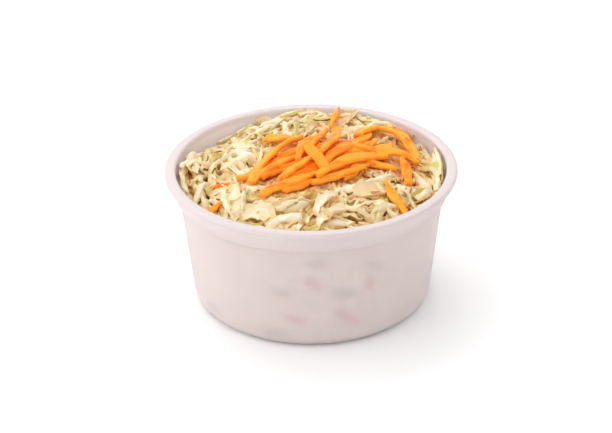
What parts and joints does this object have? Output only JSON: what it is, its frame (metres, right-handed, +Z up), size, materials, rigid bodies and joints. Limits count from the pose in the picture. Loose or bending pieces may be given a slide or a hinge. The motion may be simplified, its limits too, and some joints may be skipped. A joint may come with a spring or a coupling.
{
  "type": "tub of coleslaw",
  "caption": "Coleslaw heaped in a round translucent deli cup with a flanged rim, topped with a loose pile of carrot shreds.",
  "frame": {"origin": "centre of the circle that the cup stands on, at table level", "axes": "+Z up through the cup's mouth, -Y towards the diner, +X to the diner's right"},
  "size_m": [0.117, 0.117, 0.0644],
  "materials": {
    "cup": "translucent milky white, satin moulded",
    "slaw": "moist, creamy dressing on cut cabbage",
    "carrot": "moist cut carrot"
  },
  "bodies": {
    "root": {"cup": "cup", "slaw": "slaw", "carrot": "carrot"}
  },
  "joints": []
}
